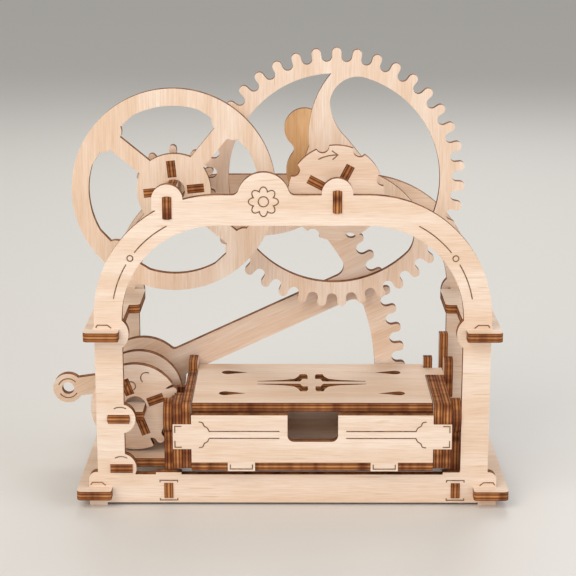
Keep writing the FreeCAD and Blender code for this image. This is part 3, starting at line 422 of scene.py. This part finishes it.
class CardBoxStage(bpy.types.PropertyGroup):
    """The floor, the lights and the camera."""

    floor_colour: FloatVectorProperty(name="Floor colour", description="Colour of the floor, linear",
                                      subtype="COLOR", size=4, default=linear("#dcdad6"), min=0, max=1)
    floor_size: FloatProperty(name="Floor size", description="Side of the floor", default=12.0,
                              unit="LENGTH")
    lens: FloatProperty(name="Lens", description="Focal length in mm on a 36 mm sensor", default=104.7,
                        min=10)
    camera_place: FloatVectorProperty(name="Camera place", description="Where the camera stands",
                                      subtype="XYZ", unit="LENGTH", size=3,
                                      default=(0.0083, -0.652, 0.2337))
    camera_pitch: FloatProperty(name="Camera pitch", description="How far the camera looks down",
                                default=math.radians(13.43), unit="ROTATION")
    camera_yaw: FloatProperty(name="Camera yaw", description="How far the camera turns to the left",
                              default=math.radians(0.17), unit="ROTATION")
    key_power: FloatProperty(name="Key power", description="Power of the large front light in W",
                             default=8.0, min=0)
    fill_power: FloatProperty(name="Fill power", description="Power of the side light in W", default=4.0,
                              min=0)
    front_power: FloatProperty(name="Front power", description="Power of the low front light in W",
                               default=1.5, min=0)
    sky: FloatProperty(name="Sky", description="Strength of the even light from all round", default=0.55,
                       min=0)


def look():
    """The sizes and colours that the panel shows."""
    return bpy.context.scene.card_box_look


# --- operators ------------------------------------------------------------------------------


class CARDBOX_OT_plywood(bpy.types.Operator):
    """Dress every sheet in birch plywood and the two dowels in turned birch"""

    bl_idname = "cardbox.plywood"
    bl_label = "Plywood"

    def execute(self, context):
        low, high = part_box("front_frame")
        sheet_mm = (high.y - low.y) / MM
        pale = plywood("birch plywood, laser cut", PALE_STOPS, sheet_mm)
        # a warmer, lighter copy of the sheet for the crank handle: painted light, its honey tone stands
        # in for the different light on the handle and is lightened against its shade
        painted_light_honey = plywood("birch plywood, painted light honey", PAINTED_LIGHT_HONEY_STOPS, sheet_mm)
        dowel = birch_dowel("birch dowel, turned")
        burnt_line(SCORCHED)
        for number, name in enumerate(sorted(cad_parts)):
            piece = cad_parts[name]
            if name in DOWELS:
                dress(piece, dowel)
                continue
            across, grain = sheet_directions(name)
            piece["ply_axis"] = across
            piece["ply_grain"] = grain
            piece["ply_start"] = float((corners(piece) @ np.array(across)).min() / MM)
            piece["ply_seed"] = float(number)
            # the crank handle wears the honey copy, painted light for how it is lit
            dress(piece, painted_light_honey if name == "crank_handle" else pale)
        return {"FINISHED"}


class CARDBOX_OT_frame_lines(bpy.types.Operator):
    """Burn the lines of the front frame: arcs on its shoulders and short marks by its slots"""

    bl_idname = "cardbox.frame_lines"
    bl_label = "Frame lines"

    def execute(self, context):
        ring_at = arc_path(SHOULDER_CENTRE, SHOULDER_R, SHOULDER_RING_ANGLE, SHOULDER_RING_ANGLE, 1)[0]
        paths = [arc_path(SHOULDER_CENTRE, SHOULDER_R, start, end) for start, end in SHOULDER_ARCS]
        paths += [
            arc_path(ring_at, SHOULDER_RING_R, 0, 360),
            straight_path(*PLATFORM_MARK),
            straight_path(*FOOT_MARK),
        ]
        marks = mirrored(paths)
        # brackets over and under the tenons in the rail
        centre = frame_centre()
        for node in ("box_bracket_left", "box_bracket_right"):
            low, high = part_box(node)
            middle = ((low.x + high.x) / 2 - centre[0]) / MM
            left, right = middle - TENON_MARK_HALF, middle + TENON_MARK_HALF
            for height, way in TENON_MARK_HEIGHTS:
                hook = height + way * TENON_MARK_HOOK
                marks.append(straight_path((left, hook), (left, height), (right, height), (right, hook)))
        # arcs over the left leg's two lobed slots
        marks += [arc_path((LOBE_U, height), LOBE_R, *LOBE_ARC) for height in LOBE_HEIGHTS]
        burn("frame_lines", marks, "stand", centre)
        return {"FINISHED"}


class CARDBOX_OT_crest(bpy.types.Operator):
    """Burn a plain rosette on the crest of the front frame"""

    bl_idname = "cardbox.crest"
    bl_label = "Crest rosette"

    def execute(self, context):
        reach = look().rosette_mm
        x, y, _ = frame_centre()
        _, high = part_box("front_frame")
        centre = (x - CREST_DROP * MM, y, high.z - CREST_DROP * MM)
        turn = np.radians(np.linspace(0, 360, 241))
        petal = reach * (1 - PETAL_DEPTH + PETAL_DEPTH * np.abs(np.cos(look().petals * turn / 2)))
        paths = [
            np.stack([petal * np.cos(turn), petal * np.sin(turn)], 1),
            arc_path((0, 0), ROSETTE_EYE * reach, 0, 360),
        ]
        burn("crest_rosette", paths, "stand", centre)
        return {"FINISHED"}


class CARDBOX_OT_panel_lines(bpy.types.Operator):
    """Burn the double lines of the box's front panel, and the marks on its tabs"""

    bl_idname = "cardbox.panel_lines"
    bl_label = "Panel lines"

    def execute(self, context):
        paths = []
        # a pair of lines either side of the window, which step apart at the panel's ends
        for start, end, side in PANEL_LINES:
            upper = [(start, PANEL_LINE_Z), (end, PANEL_LINE_Z)]
            upper += [(end + side * out, PANEL_LINE_Z + up) for out, up in FLARE]
            lower = [(u, 2 * PANEL_MIDDLE - v) for u, v in upper]
            paths += [straight_path(*upper), straight_path(*lower)]
        # marks inside the corners of the side tabs and of the floor tabs
        for tip, side in SIDE_TABS:
            for height, way in SIDE_TAB_CORNERS:
                paths.append(straight_path((tip, height + way * SIDE_TAB_MARK), (tip, height),
                                           (tip + side * SIDE_TAB_MARK, height)))
        top, bottom = FLOOR_TAB_MARK
        for left, right in FLOOR_TABS:
            paths.append(straight_path((left, top), (left, bottom), (right, bottom), (right, top)))
        x, _, _ = frame_centre()
        low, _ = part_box("box_front_panel")
        burn("panel_lines", paths, "box", (x, low.y, 0.0))
        return {"FINISHED"}


class CARDBOX_OT_hub_lines(bpy.types.Operator):
    """Burn the arrow on the crank shaft's disc, and the curl and rings of the lever"""

    bl_idname = "cardbox.hub_lines"
    bl_label = "Hub lines"

    def execute(self, context):
        shaft = arc_path((0, 0), ARROW_R, ARROW_START, ARROW_END)
        tip = shaft[-1]
        barbs = straight_path(tip + ARROW_BARBS[0], tip, tip + ARROW_BARBS[1])
        burn("hub_arrow", [shaft, barbs], "crank_shaft", hub_centre("gear_hub_disc"))
        x, _, z = hub_centre("lever_hub_disc")
        gear_low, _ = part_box("lever_hub_gear")
        burn("lever_hub_curl", [arc_path(*curl) for curl in CURLS], "lever", (x, gear_low.y, z))
        lever_low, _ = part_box("sector_lever")
        ring_z = z + RING_REACH * MM * math.sin(math.radians(RING_ANGLE))
        rings = [arc_path((0, 0), RING_LINE_R, start, end) for start, end in RING_LINES]
        burn("ring_lines", rings, "lever", (lever_low.x + RING_R * MM, lever_low.y, ring_z))
        return {"FINISHED"}


class CARDBOX_OT_stage(bpy.types.Operator):
    """Lay the floor, hang the lights and stand the camera"""

    bl_idname = "cardbox.stage"
    bl_label = "Floor, light and camera"

    def execute(self, context):
        scene = context.scene
        stage = scene.card_box_stage
        half = stage.floor_size / 2
        mesh = bpy.data.meshes.new("floor")
        mesh.from_pydata([(-half, -half, 0), (half, -half, 0), (half, half, 0), (-half, half, 0)], [],
                         [(0, 1, 2, 3)])
        floor = bpy.data.objects.new("floor", mesh)
        scene.collection.objects.link(floor)
        # a painted table top: even and faintly glossy
        material, shader = new_material("table top, painted")
        shader.inputs["Base Color"].default_value = tuple(stage.floor_colour)
        shader.inputs["Roughness"].default_value = 0.45
        mesh.materials.append(material)

        lights = (
            ("key", (-0.55, -0.75, 0.85), 0.9, stage.key_power, "#fff6ea"),
            ("fill", (0.9, -0.45, 0.45), 0.8, stage.fill_power, "#eef3ff"),
            ("back", (0.1, 0.8, 0.8), 0.7, stage.fill_power, "#ffffff"),
            ("low front", (0.05, -0.95, 0.16), 0.3, stage.front_power, "#f4f4ff"),
        )
        low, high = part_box("front_frame")
        aim = np.array([(low.x + high.x) / 2, 0.0, high.z / 2])
        for name, place, size, power, colour in lights:
            light = bpy.data.lights.new(name, "AREA")
            light.shape = "SQUARE"
            light.size = size
            light.energy = power
            light.color = linear(colour)[:3]
            lamp = bpy.data.objects.new(name, light)
            lamp.location = place
            way = aim - np.array(place)
            flat = math.hypot(way[0], way[1])
            turn = math.atan2(way[1], way[0]) - math.pi / 2
            lamp.rotation_euler = (math.atan2(flat, -way[2]), 0.0, turn)
            scene.collection.objects.link(lamp)

        world = bpy.data.worlds.new("even studio light")
        world.use_nodes = True
        sky = world.node_tree.nodes["Background"]
        sky.inputs["Color"].default_value = linear("#eceae6")
        sky.inputs["Strength"].default_value = stage.sky
        scene.world = world

        camera = bpy.data.cameras.new("camera")
        camera.lens = stage.lens
        camera.sensor_width = 36.0
        camera.clip_start = 0.01
        eye = bpy.data.objects.new("camera", camera)
        eye.location = stage.camera_place
        eye.rotation_euler = (math.pi / 2 - stage.camera_pitch, 0.0, stage.camera_yaw)
        scene.collection.objects.link(eye)
        scene.camera = eye
        scene.view_settings.view_transform = "Standard"
        return {"FINISHED"}


OPERATORS = (
    CARDBOX_OT_plywood, CARDBOX_OT_frame_lines, CARDBOX_OT_crest, CARDBOX_OT_panel_lines,
    CARDBOX_OT_hub_lines, CARDBOX_OT_stage,
)


class CARDBOX_PT_panel(bpy.types.Panel):
    """The card box's pieces, its looks and its stage"""

    bl_idname = "CARDBOX_PT_panel"
    bl_label = "Card box"
    bl_space_type = "VIEW_3D"
    bl_region_type = "UI"
    bl_category = "Card box"

    def draw(self, context):
        for operator in OPERATORS:
            self.layout.operator(operator.bl_idname)
        for group in (context.scene.card_box_look, context.scene.card_box_stage):
            box = self.layout.box()
            for name in group.__annotations__:
                box.prop(group, name)


CLASSES = (CardBoxLook, CardBoxStage) + OPERATORS + (CARDBOX_PT_panel,)


def register():
    for item in CLASSES:
        bpy.utils.register_class(item)
    bpy.types.Scene.card_box_look = PointerProperty(type=CardBoxLook)
    bpy.types.Scene.card_box_stage = PointerProperty(type=CardBoxStage)


def unregister():
    del bpy.types.Scene.card_box_stage
    del bpy.types.Scene.card_box_look
    for item in reversed(CLASSES):
        bpy.utils.unregister_class(item)


def main():
    register()
    bpy.ops.cardbox.plywood()
    bpy.ops.cardbox.frame_lines()
    bpy.ops.cardbox.crest()
    bpy.ops.cardbox.panel_lines()
    bpy.ops.cardbox.hub_lines()
    bpy.ops.cardbox.stage()


if __name__ == "__main__":
    main()
